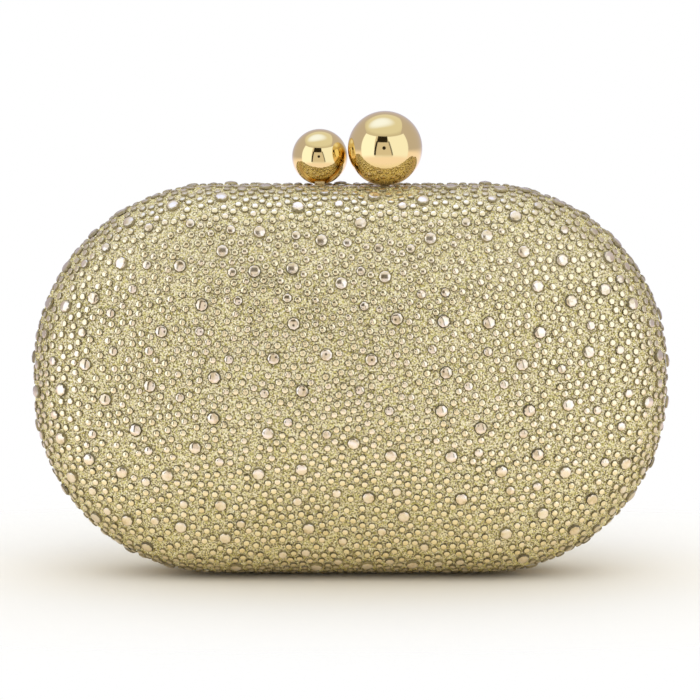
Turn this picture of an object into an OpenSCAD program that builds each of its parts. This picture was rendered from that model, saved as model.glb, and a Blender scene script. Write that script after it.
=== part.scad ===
// Minaudiere: an evening bag of two domed hard halves, hinged along the bottom and closed by two
// balls that snap past each other. The front faces -Y, +Z is up, and the bag stands on z = 0.
// Each half is drawn in its own plane first: x across, y the height above the floor, and z the
// depth away from the seam. half_turn() then stands it up as the front or the rear half.

/* [Body] */
// Width over the covered case, without crystals
body_w = 182; // [160:1:210]
// Height over the covered case, without crystals
body_h = 111.5; // [106:0.5:126]
// Radius of the four corners of the outline
corner_r = 52.5; // [44:0.5:54]
// Depth of the straight band beside the seam, on each half
band_d = 4.4; // [4.2:0.1:8]
// Depth of the dome beyond the band, on each half
dome_d = 24.9; // [20:0.1:32]
// Radius where the dome turns over into the band
rim_r = 16.5; // [10:0.5:19]

/* [Layers] */
// Thickness of the glitter cloth that the crystals are set on
cover_t = 0.7; // [0.5:0.1:1.2]
// Thickness of the moulded shell
shell_t = 1.6; // [1.2:0.1:2.4]
// Thickness of the glued lining
lining_t = 1.5; // [0.8:0.1:2.5]
// Glue line between two layers
glue_t = 0.1; // [0.05:0.05:0.2]

/* [Metal frame] */
// Thickness of the frame's rim, along the depth
rim_t = 2; // [1.9:0.1:3]
// How far the rim reaches inwards from the outline
rim_w = 5; // [4.6:0.1:8]
// How far the rim stands proud of the cover
rim_proud = 0.1; // [0.05:0.05:0.6]
// Gap between the two closed rims
seam_gap = 0.2; // [0.1:0.05:0.4]
// Thickness of the lip that holds the shell
lip_t = 1; // [0.6:0.1:1.5]
// Depth of the lip beyond the rim
lip_d = 3.6; // [2:0.1:4.2]
// Gap between the lip and the shell
lip_gap = 0.3; // [0.3:0.05:0.5]
// Thickness of the tongue round the rear rim
tongue_t = 0.8; // [0.5:0.1:1.2]
// How far the tongue reaches into the front half
tongue_d = 1.5; // [0.8:0.1:2.5]
// Gap between the tongue and the front rim
tongue_gap = 0.3; // [0.2:0.05:0.5]

/* [Hinges] */
// How far the front half swings open, in degrees
open_angle = 80; // [60:1:88]
// Distance of each hinge's middle from the middle of the bag
hinge_x = 25; // [14:1:30]
// Outer radius of a knuckle
knuckle_r = 1.6; // [1.4:0.05:1.65]
// Length of one knuckle
knuckle_l = 7; // [4:0.5:9]
// Radius of the hinge pin
pin_r = 0.8; // [0.6:0.05:0.9]
// Thickness of a hinge leaf or clasp arm, let into the rim
leaf_t = 0.95; // [0.7:0.05:1.2]
// Height of a hinge leaf above its knuckles
leaf_h = 1.9; // [1.7:0.1:2.1]

/* [Ball clasp] */
// Radius of the large ball
large_ball_r = 10.7; // [9:0.05:12]
// Radius of the small ball
small_ball_r = 8; // [6:0.05:9]
// Distance of the large ball from the middle of the bag
large_ball_x = 9.9; // [6:0.1:14]
// How far the large ball hangs over the front half
large_ball_cross = 2.5; // [1.5:0.1:4]
// How far the small ball hangs over the rear half
small_ball_cross = 2.2; // [1.5:0.1:4]
// Gap under the large ball, above the frame
large_ball_lift = 0.25; // [0.2:0.05:1.5]
// Gap under the small ball, above the frame
small_ball_lift = 0.25; // [0.2:0.05:1.5]
// Gap between the balls as they pass
pass_gap = 0.26; // [0.15:0.01:1]
// Wall of the hollow balls
ball_wall = 1.1; // [0.6:0.1:2]
// Radius of the peg that carries a ball
peg_r = 1.6; // [1.2:0.1:2]
// How far the peg reaches into its ball
peg_in = 4.5; // [3:0.1:6]
// Width of a clasp arm's plate
arm_w = 7; // [6:0.5:10]

/* [Crystals] */
// Diameter of a large crystal
large_stone_w = 3.9; // [3:0.1:4.4]
// Height of a large crystal
large_stone_h = 1.65; // [1.2:0.05:1.9]
// Diameter of a medium crystal
medium_stone_w = 2.9; // [2.4:0.1:3]
// Height of a medium crystal
medium_stone_h = 1.3; // [1:0.05:1.5]
// Places tried for large crystals on each half
large_stones = 520; // [60:1:700]
// Places tried for medium crystals on each half
medium_stones = 460; // [0:1:700]
// Least spacing of two large crystals
large_spacing = 8.3; // [6:0.1:12]
// Least spacing of a medium crystal from its neighbours
medium_spacing = 5.2; // [4.5:0.1:8]
// Diameter of a small crystal
small_stone_w = 2.2; // [1.8:0.1:2.4]
// Height of a small crystal
small_stone_h = 1.1; // [0.8:0.05:1.25]
// Places tried for small crystals on each half
small_stones = 1200; // [0:1:2500]
// Least gap between a small crystal and its neighbours
small_gap = 0.3; // [0.2:0.05:1]
// Crystals in the row that each half stands on
base_stones = 9; // [5:2:13]

/* [Hidden] */

// The two halves, as the sign of their depth along Y
FRONT = -1;
REAR = 1;

// Colours
gold = [0.86, 0.68, 0.36];
glitter = [0.78, 0.74, 0.52];
crystal = [0.93, 0.89, 0.80];
moulding = [0.85, 0.84, 0.80];
suede = [0.80, 0.70, 0.50];

// Smoothness of round shapes and of the dome's facets
$fn = 48;
corner_steps = 10;
rim_steps = 5;
crown_steps = 6;

// Running clearance of the pins, fitting clearance of let-in pieces, and the overrun of cuts
running = 0.05;
fitting = 0.05;
overrun = 1;

// The outline and its place above the floor: the base crystals stand on z = 0
half_w = body_w / 2;
half_h = body_h / 2;
mid_h = medium_stone_h + half_h;
least_side = 1;
round_r = min(corner_r, half_w - least_side, half_h - least_side);
core_w = half_w - round_r;
core_h = half_h - round_r;
frame_bottom = medium_stone_h - rim_proud;
frame_top = mid_h + half_h + rim_proud;

// The crown of the dome is one arc, tangent to the rim's arc at turn_angle above the seam
crown_r = (pow(half_h - rim_r, 2) + dome_d * dome_d - rim_r * rim_r) / (2 * (dome_d - rim_r));
turn_angle = atan2(crown_r - dome_d, half_h - rim_r);

// Depths from the seam's middle plane
seam_d = seam_gap / 2;
rim_end = seam_d + rim_t;
cover_start = rim_end + glue_t;
lip_end = rim_end + lip_d;
lining_start = lip_end + glue_t;

// Insets from the outline
shell_inset = cover_t + glue_t;
shell_inner = shell_inset + shell_t;
lining_inset = shell_inner + glue_t;
lip_inset = shell_inner + lip_gap;
tongue_inset = rim_w + tongue_gap;
rear_rim_w = tongue_inset + tongue_t;

// Hinges: the knuckles just clear the floor, and each leaf is let into its rim
knuckle_lift = 0.3;
hinge_h = knuckle_lift + knuckle_r;
knuckle_space = 0.25;
knuckle_gap = 0.2;
notch_r = knuckle_r + knuckle_space;
leaf_w = 3 * knuckle_l + 2 * knuckle_gap;
leaf_bottom = hinge_h + notch_r + fitting;
leaf_top = leaf_bottom + leaf_h;
pin_head_r = 1.2;
pin_head_t = 0.5;
// The rims are cut back below the hinge, so that they meet just past the open angle
relief_margin = 1.5;
relief_angle = open_angle / 2 + relief_margin;

// Rivets are flush in the leaf and stop short of the rim's far face
rivet_r = 0.6;
rivet_l = 1.7;
leaf_rivet_x = leaf_w / 2 - 2 * rivet_r;
arm_rivet_x = arm_w / 4;
arm_drop = 4.6;
arm_rivet_drop = 2.4;
boss_wall = 1.2;
// The neck joins the arm's plate to its peg inside the mouth of the ball's bore
neck_w = 2.8;
neck_rise = 1.5;
peg_root_lift = 1.1;
peg_root_d = seam_d + leaf_t / 2;

// The balls: they pass each other side by side with pass_gap between them
large_ball_h = frame_top + large_ball_lift + large_ball_r;
small_ball_h = frame_top + small_ball_lift + small_ball_r;
ball_spacing = sqrt(pow(large_ball_r + small_ball_r + pass_gap, 2) - pow(large_ball_h - small_ball_h, 2));
small_ball_x = large_ball_x - ball_spacing;

// Crystals: the flat table as a share of the diameter, their clearance, and where none is placed
table_share = 0.76;
stone_margin = 0.15;
ball_room = 0.4;
stone_floor = 2.3;
crystal_seed = 20;
base_pitch = 8.4;
base_row_d = band_d;
large_ball_middle = [large_ball_x, large_ball_h, -large_ball_cross];
small_ball_middle = [small_ball_x, small_ball_h, small_ball_cross];

// The dome as a function

// Corner points of the outline, drawn in by inset, with a facet count of its own for each arc
function outline(inset, steps) = [
  for (quarter = [0:3])
    let (
      across = quarter == 0 || quarter == 3 ? core_w : -core_w,
      up = quarter < 2 ? core_h : -core_h
    )
    for (i = [0:steps])
      let (a = 90 * (quarter + i / steps))
        [across + (round_r - inset) * cos(a), up + (round_r - inset) * sin(a)]
];

// The vertical section, drawn in by inset, from depth start to the top of the crown: each entry is
// the share of the outline's size and the depth
function section(inset, start) =
  let (
    low = half_h - inset,
    rim = rim_r - inset,
    crown = crown_r - inset,
    from = start < band_d ? 0 : asin((start - band_d) / rim)
  ) concat(
    start < band_d ? [[1, start]] : [],
    [for (i = [0:rim_steps])
      let (a = from + (turn_angle - from) * i / rim_steps)
        [(half_h - rim_r + rim * cos(a)) / low, band_d + rim * sin(a)]],
    [for (i = [1:crown_steps - 1])
      let (a = turn_angle + (90 - turn_angle) * i / crown_steps)
        [crown * cos(a) / low, band_d + dome_d - crown_r + crown * sin(a)]]
  );

// Every ring of one surface of the dome, as points, with the point at its middle last
function surface_points(inset, start) =
  let (ring = outline(inset, corner_steps), rows = section(inset, start)) concat(
    [for (row = rows) for (p = ring) [p.x * row[0], p.y * row[0], row[1]]],
    [[0, 0, band_d + dome_d - inset]]
  );

// Share of the way from the middle to the outline at which a point lies
function outline_share(p) =
  let (
    x = abs(p.x),
    y = abs(p.y),
    along = x * core_w + y * core_h,
    size = x * x + y * y,
    inside = core_w * core_w + core_h * core_h - round_r * round_r
  )
    x * half_h <= core_w * y ? y / half_h
    : y * half_w <= core_h * x ? x / half_w
    : size / (along + sqrt(along * along - size * inside));

// Direction square to the outline where the ray through a point meets it
function outline_normal(p) =
  let (
    hit = p / outline_share(p),
    from_core = [
      sign(hit.x) * max(abs(hit.x) - core_w, 0),
      sign(hit.y) * max(abs(hit.y) - core_h, 0)
    ]
  ) from_core / norm(from_core);

// Lengths along the section: the crown, the rim's arc and the band down to the cover's edge
crown_l = crown_r * (90 - turn_angle) * PI / 180;
rim_l = rim_r * turn_angle * PI / 180;
section_l = crown_l + rim_l + band_d - cover_start;

// Tilt of the surface from the seam's plane at a length along the section
function tilt_at(l) =
  l < crown_l ? l / crown_r * 180 / PI
  : min(90, 90 - turn_angle + (l - crown_l) / rim_r * 180 / PI);

// Place on the cover for a point of the flat outline: its share of the way out is laid off along
// the section. The result is the point on the cover and the direction square to it.
function on_cover(p) =
  let (
    share = outline_share(p),
    l = share * section_l,
    tilt = tilt_at(l),
    size = l < crown_l ? crown_r * sin(tilt) / half_h : (half_h - rim_r + rim_r * sin(tilt)) / half_h,
    depth = l < crown_l ? band_d + dome_d - crown_r * (1 - cos(tilt))
      : band_d + rim_r * cos(tilt) - max(0, l - crown_l - rim_l),
    side = outline_normal(p),
    slope = side / (side * p / share) * half_h * sin(tilt)
  ) [[p.x * size / share, p.y * size / share, depth], [slope.x, slope.y, cos(tilt)]];

// Places for the larger crystals: some are tried at random in the outline, and one is kept where it
// clears all that were kept before it
function tried(count, seed, reach) =
  let (across = rands(-1, 1, count, seed), up = rands(-1, 1, count, seed + 1)) [
    for (i = [0:count - 1])
      let (p = [across[i] * half_w, up[i] * half_h])
        if (outline_share(p) * section_l < section_l - reach) p
  ];
function clears(p, kept, spacing) = len([for (q = kept) if (norm(p - q) < spacing) q]) == 0;
function spread(tries, spacing, kept, i = 0) =
  i == len(tries) ? kept
  : spread(tries, spacing, clears(tries[i], kept, spacing) ? concat(kept, [tries[i]]) : kept, i + 1);
function large_flats(side) =
  spread(tried(large_stones, crystal_seed + side, large_stone_w / 2 + stone_margin), large_spacing, []);
function medium_flats(side) =
  let (
    large = large_flats(side),
    tries = tried(medium_stones, 2 * crystal_seed + side, medium_stone_w / 2 + stone_margin),
    both = spread(tries, medium_spacing, large)
  ) [for (i = [len(large):1:len(both) - 1]) both[i]];
function large_places(side) = [for (p = large_flats(side)) on_cover(p)];
function medium_places(side) = [for (p = medium_flats(side)) on_cover(p)];

// Places for small crystals: here the gap to every neighbour is measured on the cover itself
function stands_off(at, stones, least) =
  len([for (stone = stones) if (norm(at[0] - stone[0]) < least) stone]) == 0;
function fitted_in(tries, least, kept, i = 0) =
  i == len(tries) ? kept
  : fitted_in(tries, least, stands_off(tries[i], kept, least) ? concat(kept, [tries[i]]) : kept, i + 1);
function small_places(side) =
  let (
    large = large_places(side),
    medium = medium_places(side),
    from_large = (large_stone_w + small_stone_w) / 2 + small_gap,
    from_medium = (medium_stone_w + small_stone_w) / 2 + small_gap,
    tries = [
      for (p = tried(small_stones, 3 * crystal_seed + side, small_stone_w / 2 + stone_margin))
        let (at = on_cover(p))
          if (stands_off(at, large, from_large) && stands_off(at, medium, from_medium)) at
    ]
  ) fitted_in(tries, small_stone_w + small_gap, []);

// Shapes that several pieces share

// Stands a half up: its plane turns upright, and its depth points to the front or to the rear
module half_turn(side) {
  mirror([0, side == REAR ? 1 : 0, 0])
    rotate([90, 0, 0])
      children();
}

// The outline as a flat shape, drawn in by inset, with true arcs at its corners
module outline_shape(inset) {
  r = round_r - inset;
  translate([0, mid_h]) {
    square([2 * core_w, 2 * (half_h - inset)], center = true);
    square([2 * (half_w - inset), 2 * core_h], center = true);
    for (x = [-core_w, core_w], y = [-core_h, core_h])
      translate([x, y])
        circle(r, $fn = 4 * $fn);
  }
}

module outline_band(outer, inner, from, to) {
  translate([0, 0, from])
    linear_extrude(to - from)
      difference() {
        outline_shape(outer);
        outline_shape(inner);
      }
}

// A domed layer between two insets, open at the seam side, where it starts
module dome_layer(outer, inner, start) {
  points = surface_points(outer, start);
  inner_points = surface_points(inner, start);
  count = len(points);
  n = 4 * (corner_steps + 1);
  rows = (count - 1) / n;
  skin = concat(
    [for (k = [0:rows - 2]) for (i = [0:n - 1])
      [k * n + i, (k + 1) * n + i, (k + 1) * n + (i + 1) % n, k * n + (i + 1) % n]],
    [for (i = [0:n - 1]) [(rows - 1) * n + i, count - 1, (rows - 1) * n + (i + 1) % n]]
  );
  faces = concat(
    skin,
    [for (face = skin) [for (i = [len(face) - 1:-1:0]) face[i] + count]],
    [for (i = [0:n - 1]) [i, (i + 1) % n, count + (i + 1) % n, count + i]]
  );
  translate([0, mid_h, 0])
    polyhedron(concat(points, inner_points), faces, convexity = 4);
}

// A bar along X, from the middle outwards on both sides
module bar_x(r, l) {
  rotate([0, 90, 0])
    cylinder(h = l, r = r, center = true);
}

// The case

module cover(side) {
  color(glitter)
    half_turn(side)
      dome_layer(0, cover_t, cover_start);
}

module shell(side) {
  color(moulding)
    half_turn(side)
      dome_layer(shell_inset, shell_inner, cover_start);
}

module lining(side) {
  color(suede)
    half_turn(side)
      dome_layer(lining_inset, lining_inset + lining_t, lining_start);
}

// The metal frame of one half: the rim that shows at the seam, and the lip inside the shell. The
// rear one also has the tongue that closes the seam.
module frame(side, arm_x) {
  inner = side == REAR ? rear_rim_w : rim_w;
  color(gold)
    half_turn(side)
      difference() {
        union() {
          outline_band(-rim_proud, inner, seam_d, rim_end);
          outline_band(lip_inset, lip_inset + lip_t, seam_d + rim_t / 2, lip_end);
          if (side == REAR)
            outline_band(tongue_inset, rear_rim_w, -seam_d - tongue_d, rim_end);
        }
        for (x = [-hinge_x, hinge_x])
          translate([x, 0, 0])
            hinge_seat();
        relief();
        translate([arm_x, 0, 0])
          arm_seat();
      }
}

// Room in a rim for one hinge: the notch for its knuckles, the pocket for its leaf, rivet holes
module hinge_seat() {
  notch_w = leaf_w + 2 * (pin_head_t + knuckle_gap);
  translate([-notch_w / 2, frame_bottom - overrun, -overrun])
    cube([notch_w, leaf_bottom - fitting - frame_bottom + overrun, rim_end + overrun]);
  translate([-leaf_w / 2 - fitting, leaf_bottom - 2 * fitting, -overrun])
    cube([leaf_w + 2 * fitting, leaf_h + 3 * fitting, seam_d + leaf_t + fitting + overrun]);
  leaf_rivet_places()
    rivet_hole();
}

module leaf_rivet_places() {
  for (x = [-leaf_rivet_x, 0, leaf_rivet_x])
    translate([x, leaf_bottom + leaf_h / 2, 0])
      children();
}

module arm_rivet_places() {
  for (x = [-arm_rivet_x, arm_rivet_x])
    translate([x, frame_top - arm_rivet_drop, 0])
      children();
}

module rivet_hole() {
  translate([0, 0, -overrun])
    cylinder(h = seam_d + rivet_l + 2 * fitting + overrun, r = rivet_r + fitting);
}

// A wedge below the hinge axis, so that the two rims don't meet before the bag is open
module relief() {
  depth = hinge_h * tan(relief_angle);
  rotate([0, 90, 0])
    linear_extrude(body_w, center = true)
      polygon([[0, hinge_h], [-depth, 0], [-depth, -overrun], [overrun, -overrun], [overrun, hinge_h]]);
}

// Pocket in the rim for a clasp arm's plate
module arm_seat() {
  translate([-arm_w / 2 - fitting, frame_top - arm_drop - fitting, -overrun])
    cube([arm_w + 2 * fitting, arm_drop + 2 * overrun, seam_d + leaf_t + fitting + overrun]);
  arm_rivet_places()
    rivet_hole();
}

// The hinges

// One leaf: a plate let into the rim, and the knuckles that its tabs reach down to
module hinge_leaf(side, x) {
  places = side == REAR ? [0] : [-(knuckle_l + knuckle_gap), knuckle_l + knuckle_gap];
  color(gold)
    half_turn(side)
      translate([x, 0, 0])
        difference() {
          union() {
            translate([-leaf_w / 2, leaf_bottom, seam_d])
              cube([leaf_w, leaf_h, leaf_t]);
            for (place = places)
              translate([place, 0, 0]) {
                translate([-knuckle_l / 2, hinge_h, seam_d])
                  cube([knuckle_l, leaf_bottom + leaf_h / 2 - hinge_h, leaf_t]);
                translate([0, hinge_h, 0])
                  bar_x(knuckle_r, knuckle_l);
              }
          }
          translate([0, hinge_h, 0])
            bar_x(pin_r + running, leaf_w + 2 * overrun);
          leaf_rivet_places()
            rivet_hole();
        }
}

// The pin of one hinge, with a peened head at each end
module hinge_pin(x) {
  color(gold)
    translate([x, 0, hinge_h]) {
      bar_x(pin_r, leaf_w + 2 * knuckle_gap);
      for (end = [-1, 1])
        translate([end * (leaf_w + knuckle_gap + pin_head_t) / 2, 0, 0])
          bar_x(pin_head_r, pin_head_t);
    }
}

module rivet() {
  translate([0, 0, seam_d])
    cylinder(h = rivet_l, r = rivet_r);
}

module leaf_rivets(side) {
  color(gold)
    half_turn(side)
      for (x = [-hinge_x, hinge_x])
        translate([x, 0, 0])
          leaf_rivet_places()
            rivet();
}

module arm_rivets(side, x) {
  color(gold)
    half_turn(side)
      translate([x, 0, 0])
        arm_rivet_places()
          rivet();
}

// The clasp

// Moves what is drawn along +Z to a peg's line: from its root towards the middle of its ball
module along_peg(x, ball_h, cross) {
  rise = ball_h - frame_top - peg_root_lift;
  translate([x, frame_top + peg_root_lift, peg_root_d])
    rotate([-90 - atan2(cross + peg_root_d, rise), 0, 0])
      children();
}

function peg_reach(ball_h, cross) = norm([ball_h - frame_top - peg_root_lift, cross + peg_root_d]);

// A clasp arm: a plate in the rim, its neck, and the leaning peg that carries the ball over the seam
module clasp_arm(side, x, ball_h, ball_r, cross) {
  reach = peg_reach(ball_h, cross);
  color(gold)
    half_turn(side)
      difference() {
        union() {
          translate([x - arm_w / 2, frame_top - arm_drop, seam_d])
            cube([arm_w, arm_drop, leaf_t]);
          translate([x - neck_w / 2, frame_top - arm_drop / 2, seam_d])
            cube([neck_w, arm_drop / 2 + neck_rise, leaf_t]);
          along_peg(x, ball_h, cross)
            cylinder(h = reach - ball_r + peg_in, r = peg_r);
        }
        translate([x, 0, 0])
          arm_rivet_places()
            rivet_hole();
      }
}

// A hollow ball with a blind bore for its peg, in a boss inside the wall
module ball(side, x, ball_h, ball_r, cross) {
  reach = peg_reach(ball_h, cross);
  color(gold)
    half_turn(side)
      difference() {
        translate([x, ball_h, -cross])
          sphere(ball_r, $fn = 2 * $fn);
        difference() {
          translate([x, ball_h, -cross])
            sphere(ball_r - ball_wall, $fn = 2 * $fn);
          along_peg(x, ball_h, cross)
            cylinder(h = reach - ball_r + peg_in + boss_wall, r = peg_r + boss_wall);
        }
        along_peg(x, ball_h, cross)
          translate([0, 0, -overrun])
            cylinder(h = overrun + reach - ball_r + peg_in + 2 * fitting, r = peg_r + fitting);
      }
}

// The crystals

// A flat-backed stone: a round crown that narrows to its table
module stone(w, h) {
  cylinder(h = h, d1 = w, d2 = w * table_share, $fn = 24);
}

// True where a stone of height h at a place of one half clears the floor and both balls
function stands_free(side, place, h) =
  let (
    at = [place.x, place.y + mid_h, side * place.z],
    large = norm(at - large_ball_middle) - large_ball_r,
    small = norm(at - small_ball_middle) - small_ball_r
  ) at.y > stone_floor && min(large, small) > h + ball_room;

module scattered_stones(side, places, w, h) {
  color(crystal)
    half_turn(side)
      translate([0, mid_h, 0])
        for (place = places)
          let (n = place[1])
            if (stands_free(side, place[0], h))
              translate(place[0])
                rotate([0, acos(n.z / norm(n)), atan2(n.y, n.x)])
                  stone(w, h);
}

// The row of stones under the band, which the half stands on
module base_row(side) {
  color(crystal)
    half_turn(side)
      for (i = [0:base_stones - 1])
        translate([(i - (base_stones - 1) / 2) * base_pitch, medium_stone_h, base_row_d])
          rotate([90, 0, 0])
            stone(medium_stone_w, medium_stone_h);
}

module rear_shell() { shell(REAR); }
module rear_cover() { cover(REAR); }
module rear_lining() { lining(REAR); }
module rear_frame() { frame(REAR, large_ball_x); }
module large_ball() { ball(REAR, large_ball_x, large_ball_h, large_ball_r, large_ball_cross); }
module large_ball_arm() { clasp_arm(REAR, large_ball_x, large_ball_h, large_ball_r, large_ball_cross); }
module large_arm_rivets() { arm_rivets(REAR, large_ball_x); }
module left_rear_leaf() { hinge_leaf(REAR, -hinge_x); }
module right_rear_leaf() { hinge_leaf(REAR, hinge_x); }
module rear_leaf_rivets() { leaf_rivets(REAR); }
module left_hinge_pin() { hinge_pin(-hinge_x); }
module right_hinge_pin() { hinge_pin(hinge_x); }
module rear_large_crystals() {
  scattered_stones(REAR, large_places(REAR), large_stone_w, large_stone_h);
}
module rear_medium_crystals() {
  scattered_stones(REAR, medium_places(REAR), medium_stone_w, medium_stone_h);
}
module rear_small_crystals() {
  scattered_stones(REAR, small_places(REAR), small_stone_w, small_stone_h);
}
module rear_base_crystals() { base_row(REAR); }
module front_shell() { shell(FRONT); }
module front_cover() { cover(FRONT); }
module front_lining() { lining(FRONT); }
module front_frame() { frame(FRONT, small_ball_x); }
module small_ball() { ball(FRONT, small_ball_x, small_ball_h, small_ball_r, small_ball_cross); }
module small_ball_arm() { clasp_arm(FRONT, small_ball_x, small_ball_h, small_ball_r, small_ball_cross); }
module small_arm_rivets() { arm_rivets(FRONT, small_ball_x); }
module left_front_leaf() { hinge_leaf(FRONT, -hinge_x); }
module right_front_leaf() { hinge_leaf(FRONT, hinge_x); }
module front_leaf_rivets() { leaf_rivets(FRONT); }
module front_large_crystals() {
  scattered_stones(FRONT, large_places(FRONT), large_stone_w, large_stone_h);
}
module front_medium_crystals() {
  scattered_stones(FRONT, medium_places(FRONT), medium_stone_w, medium_stone_h);
}
module front_small_crystals() {
  scattered_stones(FRONT, small_places(FRONT), small_stone_w, small_stone_h);
}
module front_base_crystals() { base_row(FRONT); }

rear_shell();
rear_cover();
rear_lining();
rear_frame();
large_ball();
large_ball_arm();
large_arm_rivets();
left_rear_leaf();
right_rear_leaf();
rear_leaf_rivets();
left_hinge_pin();
right_hinge_pin();
rear_large_crystals();
rear_medium_crystals();
rear_small_crystals();
rear_base_crystals();
front_shell();
front_cover();
front_lining();
front_frame();
small_ball();
small_ball_arm();
small_arm_rivets();
left_front_leaf();
right_front_leaf();
front_leaf_rivets();
front_large_crystals();
front_medium_crystals();
front_small_crystals();
front_base_crystals();
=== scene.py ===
# %% [markdown]
# # A crystal minaudiere
#
# A minaudiere is a small evening bag with a hard case. This one is two domed halves, hinged along the
# bottom and closed by two gold balls that snap past each other. Glitter cloth covers each half, and
# flat-backed crystals of three sizes are glued on it, close together and at random. The case, its
# frames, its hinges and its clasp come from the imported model. What is made here is the skin, placed from
# that model: the smooth cloth, thousands of crystals, the grains of glitter between them, the polish of
# the metal and the lining.

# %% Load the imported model
import math

import bpy
import numpy as np
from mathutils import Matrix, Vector


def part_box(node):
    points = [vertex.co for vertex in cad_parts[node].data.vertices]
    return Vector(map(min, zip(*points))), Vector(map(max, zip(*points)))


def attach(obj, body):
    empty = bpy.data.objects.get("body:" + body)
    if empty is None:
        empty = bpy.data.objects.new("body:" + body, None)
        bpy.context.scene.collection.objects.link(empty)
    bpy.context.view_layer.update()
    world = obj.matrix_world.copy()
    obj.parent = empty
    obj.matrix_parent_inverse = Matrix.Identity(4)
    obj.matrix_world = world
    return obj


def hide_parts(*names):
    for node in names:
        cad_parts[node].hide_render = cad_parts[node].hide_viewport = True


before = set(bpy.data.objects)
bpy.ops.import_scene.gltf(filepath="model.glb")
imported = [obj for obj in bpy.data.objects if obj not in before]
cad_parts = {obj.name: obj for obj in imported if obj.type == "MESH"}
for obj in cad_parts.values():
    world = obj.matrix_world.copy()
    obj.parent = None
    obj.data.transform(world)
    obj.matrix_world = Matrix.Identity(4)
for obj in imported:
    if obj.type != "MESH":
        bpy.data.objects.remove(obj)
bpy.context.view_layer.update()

# %% [markdown]
# ## The sizes
#
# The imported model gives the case's width, height and depth. The two radii of the dome, the band beside
# the seam and the thickness of each skin aren't in any node's box, so they are named here as the real
# sizes that the case was drawn with. Everything is worked out in millimetres, and only the last step
# into a mesh turns millimetres into metres.

# %% Sizes of the case
MM = 0.001
FRONT, REAR = -1, 1     # which way a half faces, along Y
HALVES = {"front": FRONT, "rear": REAR}

cover_low, cover_high = (np.array(corner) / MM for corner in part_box("front_cover"))
half_w = (cover_high[0] - cover_low[0]) / 2
half_h = (cover_high[2] - cover_low[2]) / 2
mid_h = (cover_high[2] + cover_low[2]) / 2
crown_d = -cover_low[1]             # from the seam to the middle of the dome
cover_start = -cover_high[1]        # from the seam to the edge of the cloth
lining_start = -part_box("front_lining")[1][1] / MM

corner_r = 52.5       # rounding of the outline's corners
band_d = 4.4          # depth of the straight band beside the seam
rim_r = 16.5          # radius of the arc between crown and band
cover_t = 0.7         # glitter cloth
lining_inset = 2.5    # cloth and shell, outside the lining
lining_t = 1.5        # lining

core_w, core_h = half_w - corner_r, half_h - corner_r
dome_d = crown_d - band_d
crown_r = ((half_h - rim_r) ** 2 + dome_d**2 - rim_r**2) / (2 * (dome_d - rim_r))
turn = math.pi / 2 - math.atan2(crown_r - dome_d, half_h - rim_r)
crown_l, rim_l = crown_r * turn, rim_r * (math.pi / 2 - turn)
section_l = crown_l + rim_l + band_d - cover_start
print(f"case {2 * half_w:.1f} x {2 * half_h:.1f} x {2 * crown_d:.1f} mm, crown radius {crown_r:.1f} mm")

# %% [markdown]
# ## The dome as a formula
#
# Each half is a dome over a rounded outline. Its vertical section is one wide arc, the crown, which
# meets a tight arc, the rim, and then a short straight band beside the seam. At every depth the outline
# keeps its shape and only shrinks, as a stretched cloth does over a mould. One function gives the
# section, one the outline, and the dome is the two multiplied. A modelled mesh could be sculpted
# instead, but a formula also gives the exact place and direction of every crystal that sits on it.

# %% The dome's section and outline
def section(length, inset):
    """Half height, depth and tilt at a length along the section from the middle of the crown: the crown's
    arc while the length is on it, then the rim's arc, then the straight band. Insets shrink both radii."""
    crown_tilt = length / crown_r
    rim_tilt = turn + (length - crown_l) / rim_r
    on_crown, on_rim = length < crown_l, length < crown_l + rim_l
    tilt = np.where(on_crown, crown_tilt, np.minimum(rim_tilt, math.pi / 2))
    rim_height = half_h - rim_r + (rim_r - inset) * np.sin(tilt)
    height = np.where(on_crown, (crown_r - inset) * np.sin(tilt), rim_height)
    rim_depth = band_d + (rim_r - inset) * np.cos(tilt)
    band_depth = band_d - (length - crown_l - rim_l)
    crown_depth = crown_d - crown_r + (crown_r - inset) * np.cos(tilt)
    depth = np.where(on_crown, crown_depth, np.where(on_rim, rim_depth, band_depth))
    return height, depth, tilt


def outline(t, inset):
    """The outline at shares t of its length: a point that walks round the four corner centres, plus the
    corner radius less the inset, in the direction that it faces there."""
    arc = math.pi / 2 * corner_r
    steps = np.array([core_h, arc, 2 * core_w, arc, 2 * core_h, arc, 2 * core_w, arc, core_h])
    at = np.concatenate([[0], np.cumsum(steps)]) / steps.sum()
    facing = np.interp(t, at, np.array([0, 0, 1, 1, 2, 2, 3, 3, 4, 4]) * math.pi / 2)
    centre_x = np.interp(t, at, core_w * np.array([1, 1, 1, -1, -1, -1, -1, 1, 1, 1]))
    centre_z = np.interp(t, at, core_h * np.array([0, 1, 1, 1, 1, -1, -1, -1, -1, 0]))
    radius = corner_r - inset
    return np.stack([centre_x + radius * np.cos(facing), centre_z + radius * np.sin(facing)], -1)


print("outline at its four quarters:", np.round(outline(np.arange(4) / 4, 0), 1).tolist())

# %% Any point on the dome
NOT_ZERO = 1e-9


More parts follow.
